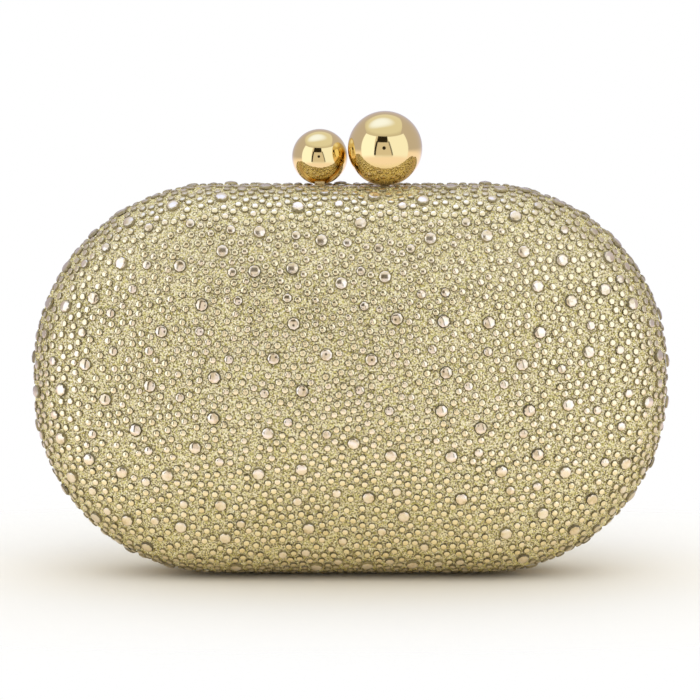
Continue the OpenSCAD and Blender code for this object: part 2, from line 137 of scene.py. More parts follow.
def on_dome(flat):
    """Place and outward direction on the cloth for points of the flat outline. The line from the middle
    through a point meets the outline in a corner's arc, where a quadratic gives the share of the way that
    the point has gone, or in a straight stretch. That share of the section's length gives its height and
    depth. Both results are (x, up, depth)."""
    flat = np.where(np.abs(flat) < NOT_ZERO, NOT_ZERO, flat)
    x, up = np.abs(flat).T
    along, size = x * core_w + up * core_h, x * x + up * up
    inside = core_w**2 + core_h**2 - corner_r**2
    corner_share = size / (along + np.sqrt(np.maximum(along * along - size * inside, 0)))
    share = np.where(x * half_h <= core_w * up, up / half_h, corner_share)
    share = np.where(up * half_w <= core_h * x, x / half_w, share)
    hit = flat / share[:, None]
    core = np.array([core_w, core_h])
    facing = np.sign(hit) * np.maximum(np.abs(hit) - core, 0)
    facing /= np.linalg.norm(facing, axis=1, keepdims=True)
    height, depth, tilt = section(share * section_l, 0)
    place = np.column_stack([hit * (height / half_h)[:, None], depth])
    rise = (hit * facing).sum(1) / half_h * np.cos(tilt)
    normal = np.column_stack([facing * np.sin(tilt)[:, None], rise])
    return place, normal / np.linalg.norm(normal, axis=1, keepdims=True)


def stood_up(points, side, direction=False):
    """Turns (x, up, depth) into X, Y and Z of the standing bag, for the front or the rear half. A direction
    isn't lifted."""
    lift = 0 if direction else mid_h
    return np.stack([points[..., 0], side * points[..., 2], points[..., 1] + lift], -1)


check, _ = on_dome(np.array([[0.0, 0.0], [0.0, half_h], [half_w, 0.0]]))
print("middle, top edge and side edge of the cloth:", np.round(check, 2).tolist())

# %% [markdown]
# ## From arrays to meshes
#
# Every new piece is a set of arrays: points, the corners of all faces in one row, and how many corners
# each face has. One function hands them to Blender in a few bulk calls. That is thousands of times
# faster than adding crystals one by one, and it keeps each skin of crystals a single mesh.

# %% Mesh helpers
def make_piece(name, points, corners, sizes, material, smooth, values=None, flip=False):
    """A mesh object from points in millimetres and faces as a row of corners with their counts. values
    holds one number per face for each named attribute, which the materials read. flip turns every face
    over, for the rear half, which is the front half's arrays with Y reversed."""
    starts = np.concatenate([[0], np.cumsum(sizes)[:-1]])
    if flip:
        face_of = np.repeat(np.arange(len(sizes)), sizes)
        corners = corners[starts[face_of] + sizes[face_of] - 1 - (np.arange(len(corners)) - starts[face_of])]
    mesh = bpy.data.meshes.new(name)
    mesh.vertices.add(len(points))
    mesh.vertices.foreach_set("co", (np.asarray(points) * MM).astype(np.float32).ravel())
    mesh.loops.add(len(corners))
    mesh.loops.foreach_set("vertex_index", corners.astype(np.int32))
    mesh.polygons.add(len(sizes))
    mesh.polygons.foreach_set("loop_start", starts.astype(np.int32))
    mesh.update(calc_edges=True)
    mesh.polygons.foreach_set("use_smooth", np.broadcast_to(smooth, len(sizes)).astype(bool))
    for label, numbers in (values or {}).items():
        layer = mesh.attributes.new(label, "FLOAT", "FACE")
        layer.data.foreach_set("value", np.asarray(numbers, np.float32))
    mesh.materials.append(material)
    piece = bpy.data.objects.new(name, mesh)
    bpy.context.scene.collection.objects.link(piece)
    print(f"{name}: {len(points)} points, {int((np.asarray(sizes) - 2).sum())} triangles")
    return piece


def points_of(name):
    """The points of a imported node, in millimetres."""
    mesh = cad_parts[name].data
    points = np.empty(len(mesh.vertices) * 3, np.float32)
    mesh.vertices.foreach_get("co", points)
    return points.reshape(-1, 3) / MM


def edges_of(mesh):
    """The two ends of every edge, one edge in a row."""
    ends = np.empty(len(mesh.edges) * 2, np.int32)
    mesh.edges.foreach_get("vertices", ends)
    return ends.reshape(-1, 2)


def closed_grid(rows, columns):
    """Quads of a grid of points, row after row, whose last column is joined to its first. The first and the
    last row are each closed with a fan round one of the two points that follow the grid."""
    row, column = np.meshgrid(np.arange(rows - 1), np.arange(columns), indexing="ij")
    right = (column + 1) % columns
    quads = np.stack([row * columns + column, (row + 1) * columns + column, (row + 1) * columns + right,
                      row * columns + right], -1).reshape(-1, 4)
    first, after, last = np.arange(columns), (np.arange(columns) + 1) % columns, (rows - 1) * columns
    near_pole, far_pole = np.full(columns, rows * columns), np.full(columns, rows * columns + 1)
    fans = np.concatenate([np.column_stack([near_pole, first, after]),
                           np.column_stack([far_pole, last + after, last + first])])
    return np.concatenate([quads.ravel(), fans.ravel()]), np.repeat([4, 3], [len(quads), len(fans)])


print("points of the packed large ball:", len(points_of("large_ball")))

# %% [markdown]
# ## Shader maths as plain expressions
#
# Materials here are procedural, so each is a small formula over the surface. Writing those formulas as
# dozens of hand-linked Math nodes hides what they say. A small class wraps a socket and overloads the
# operators, so an expression in Python adds the nodes, and one method makes every other kind of node.

# %% The socket class
class Signal:
    """A number or vector socket inside a node tree. Arithmetic on it adds Math nodes."""

    def __init__(self, tree, socket):
        self.tree, self.socket = tree, socket

    def math(self, operation, *others):
        values = {0: self, **dict(enumerate(others, 1))}
        return self.tree.node("ShaderNodeMath", {"operation": operation}, values)

    def __add__(self, other):
        return self.math("ADD", other)

    def __sub__(self, other):
        return self.math("SUBTRACT", other)

    def __rsub__(self, other):
        return (self * -1.0) + other

    def __mul__(self, other):
        return self.math("MULTIPLY", other)

    def __truediv__(self, other):
        return self.math("DIVIDE", other)

    def __abs__(self):
        return self.math("ABSOLUTE")

    __radd__ = __add__
    __rmul__ = __mul__

    def above(self, limit, soft):
        """0 below the limit, 1 above it, with a soft step between."""
        return self.tree.node("ShaderNodeMapRange", {"interpolation_type": "SMOOTHSTEP"},
                              {"Value": self, "From Min": limit - soft, "From Max": limit + soft})

    def below(self, limit, soft):
        return 1.0 - self.above(limit, soft)

    def within(self, low, high, soft):
        return self.above(low, soft) * self.below(high, soft)


# %% The node tree
class Tree:
    """A material's or the world's node tree, emptied, with one method that adds any node."""

    def __init__(self, owner):
        owner.use_nodes = True
        self.nodes, self.links = owner.node_tree.nodes, owner.node_tree.links
        self.nodes.clear()

    def node(self, kind, settings=None, values=None, output=0):
        """Adds a node, sets its settings first and then its sockets, and returns one of its outputs."""
        made = self.nodes.new(kind)
        for key, value in (settings or {}).items():
            if key == "stops":
                ramp = made.color_ramp
                while len(ramp.elements) < len(value):
                    ramp.elements.new(0.5)
                for element, (place, colour) in zip(ramp.elements, value):
                    element.position, element.color = place, (*colour, 1)
            else:
                setattr(made, key, value)
        for key, value in (values or {}).items():
            self.put(made.inputs[key], value)
        return Signal(self, made.outputs[output]) if made.outputs else made

    def put(self, socket, value):
        """Links a signal to a socket, or writes a number or a colour on it."""
        if isinstance(value, Signal):
            self.links.new(value.socket, socket)
        elif hasattr(value, "__len__") and len(value) == 3 and socket.type == "RGBA":
            socket.default_value = (*value, 1)
        else:
            socket.default_value = value

    def mix(self, share, first, second):
        """A colour between two colours. Sockets 0, 6 and 7 are the factor and the two colours, and output
        2 is the colour."""
        return self.node("ShaderNodeMix", {"data_type": "RGBA"}, {0: share, 6: first, 7: second}, output=2)

    def ramp(self, share, *stops):
        """A colour from a row of (position, colour) stops."""
        return self.node("ShaderNodeValToRGB", {"stops": stops}, {"Fac": share})

    def attribute(self, name):
        """The number that a face carries under this name."""
        return self.node("ShaderNodeAttribute", {"attribute_name": name}, output="Fac")

    def place(self):
        """The place on the piece, in its own frame, in metres."""
        return self.node("ShaderNodeTexCoord", output="Object")

    def part(self, vector, axis):
        """One of the three numbers of a vector: 0, 1 or 2 for X, Y or Z."""
        return self.node("ShaderNodeSeparateXYZ", {}, {0: vector}, output=axis)

    def noise(self, scale, detail):
        """Cloudy numbers round 0.5, a scale's worth of clouds to the metre."""
        return self.node("ShaderNodeTexNoise", {}, {"Vector": self.place(), "Scale": scale, "Detail": detail})


def material(name, colour, metallic, roughness, bump=None, bump_depth=0.0, **constants):
    """A Principled material. Colour, metallic and roughness are numbers, or functions of the tree that
    make them. Every other value is a constant on the shader's own socket."""
    made = bpy.data.materials.new(name)
    tree = Tree(made)
    given = {"Base Color": colour, "Metallic": metallic, "Roughness": roughness}
    values = {key: value(tree) if callable(value) else value for key, value in given.items()}
    if bump:
        values["Normal"] = tree.node("ShaderNodeBump", {}, {"Height": bump(tree), "Distance": bump_depth})
    shader = tree.node("ShaderNodeBsdfPrincipled", {}, {**values, **constants})
    tree.node("ShaderNodeOutputMaterial", {}, {"Surface": shader})
    made.diffuse_color = (1, 1, 1, 1) if callable(colour) else (*colour, 1)
    print(f"{name}: {len(tree.nodes)} nodes")
    return made

# %% [markdown]
# ## The finishes
#
# Foil-backed glass looks like metal from the front: the foil under it throws the light straight back.
# So the table of each crystal is a pale smooth metal that shows its own part of the room. Its lower facets
# throw the light aside instead, so they are painted dark olive, a painted shade, and made less metallic,
# which draws the thin ring that every real stone has. Glitter cloth is a yellow-green film with specks of
# three golds, under coarse grains. The balls are polished, and the frames, arms and hinges are brushed to a
# satin.
#
# Each crystal and each grain carries a random number on its faces, which shifts its colour a little: partly
# its own tint, and partly painted light, as no two real ones catch the light alike. Two more numbers come
# from the place on the bag: how near it is to the rim, where painted shade stands for the stones shading each
# other, and whether it leans back under the overhead light, where painted light makes it paler.

# %% Where a face is on the bag
RIM_DEPTH, RIM_SOFT = 0.014, 0.005      # metres from the seam
LEAN_HEIGHT, LEAN_SOFT = 0.087, 0.009   # metres above the table


def rim_shade(tree):
    """0 on the crown of each dome, rising to 1 where it turns over into the band, where the crystals get
    painted shade.
    """
    return abs(tree.part(tree.place(), 1)).below(RIM_DEPTH, RIM_SOFT)


def under_box_light(tree):
    """0 on the lower part of the bag, rising to 1 on the part that leans back under the box of light, where
    the cloth and the crystals' rings are painted paler, a painted light.
    """
    return tree.part(tree.place(), 2).above(LEAN_HEIGHT, LEAN_SOFT)


# %% Crystals
def crystal_colour(tree):
    """Pale on the table and dark olive on the crown's lower facets, a painted shade, then warmed, cooled or
    greyed from stone to stone. The larger stones have a ramp of their own, whose clouds are wide enough to
    show in them and are painted reflections of the facets under a table. Near the rim the tables get painted
    shade and the rings are painted paler, and under the box of light the rings get painted light."""
    tint = tree.attribute("tint")
    small = tree.ramp(tint * 0.6 + (tree.noise(650, 1) * 1.2 - 0.4),
                      (0.0, (0.82, 0.66, 0.32)), (0.25, (0.96, 0.78, 0.42)), (0.55, (1.0, 0.85, 0.48)),
                      (0.8, (1.0, 0.82, 0.54)), (1.0, (1.0, 0.82, 0.42)))
    # painted reflections: clouds of lighter and darker tones inside the large tables
    large = tree.ramp(tree.noise(480, 2) * 3.0 - 1.15 + tint * 0.3,
                      (0.0, (0.76, 0.60, 0.33)), (0.3, (0.95, 0.75, 0.49)), (0.5, (0.92, 0.78, 0.48)),
                      (0.7, (0.98, 0.81, 0.58)), (1.0, (1.0, 0.86, 0.62)))
    # painted shade: the crown's lower facets are painted dark olive, a little darker or paler from stone to
    # stone
    steep = tree.ramp(tint, (0.0, (0.08, 0.062, 0.022)), (0.5, (0.145, 0.115, 0.04)),
                      (1.0, (0.24, 0.19, 0.07)))
    rim = rim_shade(tree)
    # painted shade: near the rim the tables are painted darker
    table = tree.mix(rim * 0.68, tree.mix(tree.attribute("fine"), small, large), (0.45, 0.37, 0.24))
    # the rings are painted paler near the rim, part of the same painted shade, and paler again under the box
    # of light, a painted light
    steep = tree.mix(under_box_light(tree) * 0.12, tree.mix(rim * 0.3, steep, (0.50, 0.41, 0.23)), (0.66, 0.56, 0.30))
    return tree.mix(tree.attribute("steep"), table, steep)


crystal_glass = material("crystal_glass", crystal_colour,
                         lambda tree: 0.9 - under_box_light(tree) * 0.05 - tree.attribute("steep") * 0.55,
                         lambda tree: under_box_light(tree) * 0.08 + 0.08)


# %% Glitter, cloth and suede
def grain_colour(tree):
    """Grains from deep olive to pale beige, by the random number of each."""
    return tree.ramp(tree.attribute("tint"), (0.0, (0.20, 0.15, 0.05)), (0.3, (0.68, 0.58, 0.14)),
                     (0.7, (0.94, 0.82, 0.34)), (1.0, (1.0, 0.90, 0.58)))


def cloth_colour(tree):
    """Fine specks of three golds, with patches of a greener film, painted paler where it leans back under the
    box of light: painted light.
    """
    speck = tree.ramp(tree.noise(2100, 2), (0.39, (0.17, 0.13, 0.045)), (0.5, (0.69, 0.565, 0.30)),
                      (0.60, (1.0, 0.91, 0.60)))
    green = tree.mix(tree.noise(1500, 2).above(0.56, 0.06) * 0.45, speck, (0.78, 0.71, 0.17))
    # painted light: the cloth is painted paler under the box of light
    return tree.mix(under_box_light(tree) * 0.12, green, (0.96, 0.86, 0.60))


def suede_colour(tree):
    """Champagne suede: a fine nap over soft cloudy patches where it was brushed."""
    nap = tree.ramp(tree.noise(2600, 3), (0.3, (0.50, 0.40, 0.25)), (0.7, (0.62, 0.51, 0.34)))
    return tree.mix(tree.noise(25, 2) * 0.6, nap, (0.68, 0.57, 0.40))


glitter_grain = material("glitter_grain", grain_colour, 0.85, 0.28)
glitter_cloth = material("glitter_cloth", cloth_colour, 0.45, 0.45, lambda tree: tree.noise(2600, 3), 0.0003)
suede = material("suede", suede_colour, 0.0, 0.9, lambda tree: tree.noise(2600, 3), 0.0001,
                 **{"Sheen Weight": 0.3, "Sheen Roughness": 0.4})

# %% Gold and the moulded shell
polished_gold = material("polished_gold", (0.84, 0.635, 0.262), 1.0,
                         lambda tree: tree.noise(90, 2) * 0.04 + 0.03)
satin_gold = material("satin_gold", (0.86, 0.65, 0.29), 1.0, lambda tree: tree.noise(160, 3) * 0.14 + 0.16,
                      lambda tree: tree.noise(1400, 2), 0.00002)


def moulding_colour(tree):
    """Plain off-white plastic, a little uneven."""
    return tree.ramp(tree.noise(60, 2), (0.3, (0.74, 0.73, 0.69)), (0.7, (0.80, 0.79, 0.75)))


moulding = material("moulding", moulding_colour, 0.0, 0.6, lambda tree: tree.noise(900, 2), 0.00005)

# %% [markdown]
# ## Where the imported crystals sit
#
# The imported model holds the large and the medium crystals, and a quarter of the small ones, as plain
# cones, each a loose part of one mesh. Their places are read from that mesh: parts are told apart by
# following shared corners, and the narrowest spread of a part's points is the line that it faces along.
# The finished crystals stand in exactly the same places, so a designer who moves one in the model moves
# it here too.

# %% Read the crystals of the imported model
SIZES = ("large", "medium", "base", "small")


def loose_parts(points, ends):
    """A label for every point, the same for all points that edges join: each point takes the lowest label
    among its neighbours, again and again, until nothing changes."""
    label = np.arange(len(points))
    while True:
        lower = label.copy()
        np.minimum.at(lower, ends[:, 0], label[ends[:, 1]])
        np.minimum.at(lower, ends[:, 1], label[ends[:, 0]])
        lower = lower[lower]
        if (lower == label).all():
            return label
        label = lower


def stones_of(node):
    """Base centre, outward direction, radius and height of every loose cone of a node, in millimetres. The
    widest end of each is its base, and its axis is the direction in which its points spread least."""
    merged, first = np.unique(np.round(points_of(node), 3), axis=0, return_inverse=True)
    label = loose_parts(merged, first.ravel()[edges_of(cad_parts[node].data)])
    stones = []
    for part in np.unique(label):
        points = merged[label == part]
        middle = points.mean(0)
        axis = np.linalg.eigh(np.cov((points - middle).T))[1][:, 0]
        along = (points - middle) @ axis
        upper, under = points[along > along.mean()], points[along <= along.mean()]
        wide = [np.linalg.norm(end - end.mean(0), axis=1).mean() for end in (upper, under)]
        base, top = (upper, under) if wide[0] > wide[1] else (under, upper)
        lift = top.mean(0) - base.mean(0)
        height = np.linalg.norm(lift)
        stones.append([*base.mean(0), *(lift / height), max(wide), height])
    stones = np.array(stones)
    radius, height = stones[:, 6:].mean(0)
    print(f"{node}: {len(stones)} stones, radius {radius:.2f}, height {height:.2f} mm")
    return stones


cad_stones = {(half, size): stones_of(f"{half}_{size}_crystals") for half in HALVES for size in SIZES}

# %% [markdown]
# ## Settling the small crystals
#
# More small crystals fill what is left, close together but in no pattern. Throwing them at random
# leaves clumps and holes, and a grid looks printed. So they are thrown at random first and then let push
# each other apart, like a layer of beads that is shaken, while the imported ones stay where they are. Each
# push is worked out on the dome itself and carried back to the flat outline, which keeps every stone on
# the cloth. Holes that are left then get one more, and the layer is shaken again.

# %% Throw points on the dome
RING_STEP = 0.9        # rings lie closer than the points in them, as a share of the spacing
FIRST_RING = 3         # the first ring is this part of the spacing from the middle
RING_LEAST = 4         # points in a ring, at least
OUT_LEAST = 0.001      # share of the way out from the middle, at least
rng = np.random.default_rng(12)


def scattered(spacing, shake, edge):
    """Points spread over the dome: rings of the section a spacing apart, each with as many points as the
    outline is long there, then shaken by a share of the spacing. Lengths beyond the edge are left out."""
    lengths = np.arange(spacing / FIRST_RING, section_l - edge, spacing * RING_STEP)
    flats = []
    for length in lengths:
        height, _, _ = section(np.array([length]), 0)
        around = height[0] / half_h * (2 * math.pi * corner_r + 4 * core_w + 4 * core_h)
        count = max(RING_LEAST, round(around / spacing))
        t = (np.arange(count) + rng.uniform() + rng.normal(0, shake, count)) / count
        share = (length + rng.normal(0, shake * spacing, count)) / section_l
        flats.append(outline(t % 1, 0) * np.clip(share, OUT_LEAST, 1 - edge / section_l)[:, None])
    return np.concatenate(flats)


# %% Let them push each other apart
LOOK_AGAIN = 8         # shakes between two searches for neighbours
LOOK_FAR = 1.5         # how much farther than a touch the search looks, in millimetres
EASE = 0.8             # share of a push that is taken in one shake
PROBE = 0.01           # step that measures how the dome runs, in millimetres


def settled(flat, radius, gap, others, other_radius, shakes, edge):
    """Pushes points apart on the dome until each is its radius, its neighbour's radius and the gap away
    from every neighbour. Two loose points share a push, and a fixed one takes none. A push is projected
    on the two directions in which the dome runs there, and points that leave the cloth are put back at
    its edge."""
    limit = 1 - (radius + edge) / section_l
    core = np.array([core_w, core_h])
    for shake in range(shakes):
        place, _ = on_dome(flat)
        every = np.vstack([place, others])
        if shake % LOOK_AGAIN == 0:
            reach = np.concatenate([np.full(len(flat), radius), other_radius]) + radius + gap
            far2 = (place**2).sum(1)[:, None] + (every**2).sum(1)[None] - 2 * place @ every.T
            first, second = np.nonzero(far2 < ((reach + LOOK_FAR) ** 2)[None])
            keep = first != second
            first, second = first[keep], second[keep]
        away = place[first] - every[second]
        far = np.linalg.norm(away, axis=1) + NOT_ZERO
        push = np.clip(reach[second] - far, 0, None) / far
        share = np.where(second < len(flat), 0.5, 1.0)
        moves = np.stack([np.bincount(first, away[:, k] * push * share, len(flat)) for k in range(3)], 1)
        along = (on_dome(flat + [PROBE, 0])[0] - place) / PROBE
        up = (on_dome(flat + [0, PROBE])[0] - place) / PROBE
        a, b, c = (along**2).sum(1), (along * up).sum(1), (up**2).sum(1)
        p, q = (moves * along).sum(1), (moves * up).sum(1)
        flat = flat + np.stack([c * p - b * q, a * q - b * p], 1) / (a * c - b * b)[:, None] * EASE
        past = np.maximum(np.abs(flat) - core, 0)
        corner = np.linalg.norm(past, axis=1)
        back = np.minimum(1, limit * corner_r / np.maximum(corner, NOT_ZERO))
        outside = corner > limit * corner_r
        flat[outside] = (np.sign(flat) * (np.minimum(np.abs(flat), core) + past * back[:, None]))[outside]
    return flat


# %% Tell free places from taken ones
SLICE = 1500           # places looked at in one go
FLOOR_CLEAR = 0.1      # room over the table and round the balls, in millimetres
BALL_CLEAR = 0.4
balls = [(np.array(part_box(name)).mean(0) / MM, (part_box(name)[1][0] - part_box(name)[0][0]) / 2 / MM)
         for name in ("large_ball", "small_ball")]


def in_half(stones, side):
    """Base centres of packed stones as (x, up, depth) of their half."""
    return np.column_stack([stones[:, 0], stones[:, 2] - mid_h, side * stones[:, 1]])


def edge_gap(place, stones, radius):
    """Distance from each place to the edge of the nearest stone, worked out in slices to save memory."""
    gaps = []
    for part in np.array_split(place, max(1, len(place) // SLICE)):
        far2 = (part**2).sum(1)[:, None] + (stones**2).sum(1)[None] - 2 * part @ stones.T
        gaps.append((np.sqrt(np.maximum(far2, 0)) - radius[None]).min(1))
    return np.concatenate(gaps)


def apart(place, least):
    """Marks places, in order, that keep the least distance from every one marked before."""
    marked = np.zeros(len(place), bool)
    for i, at in enumerate(place):
        marked[i] = not len(place[marked]) or ((place[marked] - at) ** 2).sum(1).min() > least**2
    return marked


def off_the_balls(standing, height):
    """Marks places on the bag where something this high clears the floor and both balls."""
    free = standing[:, 2] > height + FLOOR_CLEAR
    for centre, radius in balls:
        free &= np.linalg.norm(standing - centre, axis=1) > radius + height + BALL_CLEAR
    return free


# %% Small crystals of both halves
SMALL_R, SMALL_H = cad_stones["front", "small"][:, 6:].mean(0)
SMALL_PITCH = 3.4      # spacing of the first throw
SMALL_GAP = 0.55       # wanted between one small crystal and the next
SMALL_SHAKE = 0.42     # how far a throw strays, as a share of its spacing
THROW_NEAR = 0.4       # least room to a packed stone's edge at the start, as a share of the radius
HOLE_PITCH = 0.9       # spacing of the throw that looks for holes
HOLE_R = 1.45          # free round the middle of a hole
LONG_SETTLE, SHORT_SETTLE = 50, 30      # shakes
EDGE, TOUCH = 0.1, 0.05                 # least room to the edge of the cloth and between stones

small_places = {}
for half, side in HALVES.items():
    packed = np.vstack([cad_stones[half, size] for size in SIZES])
    fixed, fixed_r = in_half(packed, side), packed[:, 6]
    flat = scattered(SMALL_PITCH, SMALL_SHAKE, SMALL_R)
    flat = flat[edge_gap(on_dome(flat)[0], fixed, fixed_r) > SMALL_R * THROW_NEAR]
    flat = settled(flat, SMALL_R, SMALL_GAP, fixed, fixed_r, LONG_SETTLE, EDGE)
    holes = scattered(HOLE_PITCH, SMALL_SHAKE, SMALL_R)
    every = np.vstack([on_dome(flat)[0], fixed])
    every_r = np.concatenate([np.full(len(flat), SMALL_R), fixed_r])
    room = edge_gap(on_dome(holes)[0], every, every_r)
    holes = holes[room > HOLE_R][np.argsort(-room[room > HOLE_R])]
    holes = holes[apart(on_dome(holes)[0], 2 * SMALL_R + SMALL_GAP)]
    flat = settled(np.vstack([flat, holes]), SMALL_R, SMALL_GAP, fixed, fixed_r, SHORT_SETTLE, EDGE)
    place, _ = on_dome(flat)
    clear = (edge_gap(place, fixed, fixed_r) > SMALL_R + TOUCH) & apart(place, 2 * SMALL_R + TOUCH)
    clear &= off_the_balls(stood_up(place, side), SMALL_H)
    small_places[half] = flat[clear]
    print(f"{half}: {len(flat)} small crystals thrown, {len(holes)} in holes, {int(clear.sum())} kept")

# %% [markdown]
# ## Cutting the crystals
#
# A flat-backed crystal has a flat base that is glued, a thin girdle, two rows of crown facets and a
# table on top. From a few steps away a real table shows a whole small picture of the room, because the
# stone under it works like a lens. So each table is a shallow cap, shaded smoothly, inside rings of flat
# facets. There are thousands of small ones, so their girdle has eight sides, and the larger ones, which
# show in a close view, get sixteen. The glue takes up some of each stone's height, so they stand lower
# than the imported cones, and only the ones that the bag stands on keep their full height.

# %% The two cuts
EIGHTH = 2 * math.pi / 8
SMALL_TABLE, FINE_TABLE = 0.64, 0.66      # radius of the table, where the stone's is 1
SMALL_BEND, FINE_BEND = 0.83, 0.87        # radius at the bend between the two rows of facets
SMALL_BEND_Z, FINE_BEND_Z = 0.68, 0.64    # height of that bend, where the stone's is 1
SMALL_DOME, FINE_DOME = math.radians(12), math.radians(14)    # how far the table slopes to its edge
FINE_FLATNESS = 1.4                       # radius over height of a large stone
GIRDLE_Z, BASE_Z = 0.3, -0.06             # heights of the girdle, and of the base in its glue
STAR, KITE, LOWER, WALL = 0.1, 0.2, 1.0, 0.8    # painted shade of each row of facets, from 0 to 1
STONE_RISE = 0.8                          # height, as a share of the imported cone's
STONE_LEAN = 0.035                        # how far a stone leans at random, where its axis is 1


def ring(count, radius, height, turned=0.0):
    """Points on a circle, turned by a share of the step between them."""
    angle = (np.arange(count) + turned) * 2 * math.pi / count
    return np.column_stack([radius * np.cos(angle), radius * np.sin(angle), np.full(count, height)])


def cut_stone(table_r, bend_r, bend_z, table_slope, flatness, sides):
    """Unit stone of radius 1 and height 1: a middle point, then rings for the table, the bend, the girdle and
    the base. Table and bend have eight corners, half a step apart, with triangles between them. From each
    corner of the bend a fan goes down to the girdle. The table's triangles slope to its ring, which the
    tangent of the slope puts lower than the middle. Faces come as the table's, the crown's with the painted
    shade of each, and the rest."""
    dip = table_r * math.cos(EIGHTH / 2) * math.tan(table_slope) * flatness
    points = np.vstack([[[0, 0, 1]], ring(8, table_r, 1 - dip), ring(8, bend_r, bend_z, 0.5),
                        ring(sides, 1, GIRDLE_Z), ring(sides, 1, BASE_Z)])
    i, k = np.arange(8), np.arange(sides)
    j, mid, low, base, fan = (i + 1) % 8, 9, 17, 17 + sides, sides // 8
    table = [[0, 1 + a, 1 + b] for a, b in zip(i, j)]
    crown = [(STAR, [1 + b, 1 + a, mid + a]) for a, b in zip(i, j)]
    crown += [(KITE, [1 + b, mid + a, mid + b]) for a, b in zip(i, j)]
    crown += [(LOWER, [mid + b, mid + a, low + fan * b]) for a, b in zip(i, j)]
    crown += [(LOWER, [mid + a, low + fan * a + n, low + (fan * a + n + 1) % sides])
              for n in range(fan) for a in i]
    wall = [[low + a, base + a, base + (a + 1) % sides, low + (a + 1) % sides] for a in k]
    return points, table, crown, wall + [list(base + k[::-1])]


small_flatness = SMALL_R / (SMALL_H * STONE_RISE)
SMALL_CUT = cut_stone(SMALL_TABLE, SMALL_BEND, SMALL_BEND_Z, SMALL_DOME, small_flatness, 8)
FINE_CUT = cut_stone(FINE_TABLE, FINE_BEND, FINE_BEND_Z, FINE_DOME, FINE_FLATNESS, 16)
for label, (_, table, crown, rest) in (("small", SMALL_CUT), ("large", FINE_CUT)):
    print(f"faces of a {label} crystal: {len(table)} table, {len(crown)} crown, {len(rest)} girdle and base")


# %% Copies of a cut
def frames_of(directions, lean):
    """Three directions at right angles for each place: its own, leaned a little at random, and two across
    it, turned by a random angle."""
    out = directions + rng.normal(0, lean, directions.shape)
    out /= np.linalg.norm(out, axis=1, keepdims=True)
    across = np.cross(out, rng.normal(0, 1, directions.shape))
    across /= np.linalg.norm(across, axis=1, keepdims=True)
    return out, across, np.cross(out, across)


def set_stones(name, places, normals, radius, height, lean, fine):
    """One mesh with a copy of the cut at every place, scaled to the stone's radius and height. Each face
    carries its painted shade, the random number of its stone, and whether the stone is a fine one."""
    template, table, crown, rest = FINE_CUT if fine else SMALL_CUT
    count, faces = len(places), table + [face for _, face in crown] + rest
    out, across, beside = frames_of(normals, lean)
    radius, height = np.reshape(radius, (-1, 1, 1)), np.reshape(height, (-1, 1, 1))
    points = (places[:, None] + np.einsum("k,nj->nkj", template[:, 0], across) * radius
              + np.einsum("k,nj->nkj", template[:, 1], beside) * radius
              + np.einsum("k,nj->nkj", template[:, 2], out) * height)
    sizes = np.tile([len(face) for face in faces], count)
    corners = (np.concatenate(faces)[None] + np.arange(count)[:, None] * len(template)).ravel()
    dark = np.array([0.0] * len(table) + [steep for steep, _ in crown] + [WALL] * len(rest))
    values = {"steep": np.tile(dark, count), "tint": np.repeat(rng.uniform(0, 1, count), len(faces)),
              "fine": np.full(count * len(faces), float(fine))}
    piece = make_piece(name, points.reshape(-1, 3), corners, sizes, crystal_glass, np.tile(dark == 0, count),
                       values)
    of_table = np.isin(edges_of(piece.data) % len(template), np.arange(1, 9)).all(1)
    sharp = piece.data.attributes.new("sharp_edge", "BOOLEAN", "EDGE")
    sharp.data.foreach_set("value", of_table)
    return piece


def dress(piece, half, slot, *nodes):
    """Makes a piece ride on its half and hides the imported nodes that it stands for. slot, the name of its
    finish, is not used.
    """
    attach(piece, f"{half}_half")
    if nodes:
        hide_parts(*nodes)


# %% Set all the crystals
for half, side in HALVES.items():
    for size in SIZES:
        stones = cad_stones[half, size]
        lean, rise = (0.0, 1.0) if size == "base" else (STONE_LEAN, STONE_RISE)
        piece = set_stones(f"{half}_{size}_cut_crystals", stones[:, :3], stones[:, 3:6], stones[:, 6],
                           stones[:, 7] * rise, lean, size != "small")
        dress(piece, half, "crystal", f"{half}_{size}_crystals")
    place, normal = on_dome(small_places[half])
    piece = set_stones(f"{half}_infill_cut_crystals", stood_up(place, side), stood_up(normal, side, True),
                       SMALL_R, SMALL_H * STONE_RISE, STONE_LEAN, False)
    dress(piece, half, "crystal")

# %% [markdown]
# ## Glitter cloth and lining
#
# The cloth is stretched over each shell and glued, so it has the dome's shape and its own thickness.
# The lining is a suede-like film on the inside, a little further in. Each is one closed skin: an outer
# face, a narrow edge beside the frame and an inner face. A Solidify modifier could give the thickness,
# but the formula already knows the exact inner face, and the edge stays square to the seam.

# %% Closed skins on the dome
AROUND = 288
CROWN_ROWS, RIM_ROWS, BAND_ROWS = 40, 16, 4


def dome_skin(outer, inner, start):
    """Rows of the outline, shrunk by the section's height: from the middle of the outer face to the edge at
    depth start, then back to the middle of the inner face. Both middles are closed with a fan."""
    bends = (0, crown_l, crown_l + rim_l, crown_l + rim_l + band_d - start)
    rows_of = zip(bends[:-1], bends[1:], (CROWN_ROWS, RIM_ROWS, BAND_ROWS))
    lengths = np.concatenate([np.linspace(low, high, count)[1:] for low, high, count in rows_of])
    rows = []
    for inset, order in ((outer, lengths), (inner, lengths[::-1])):
        height, depth, _ = section(order, inset)
        flat = outline(np.arange(AROUND) / AROUND, inset)[None] * (height / (half_h - inset))[:, None, None]
        rows.append(np.concatenate([flat, np.broadcast_to(depth[:, None, None], (*flat.shape[:2], 1))], 2))
    points = np.vstack([*np.concatenate(rows), [[0, 0, crown_d - outer], [0, 0, crown_d - inner]]])
    return points, *closed_grid(2 * len(lengths), AROUND)


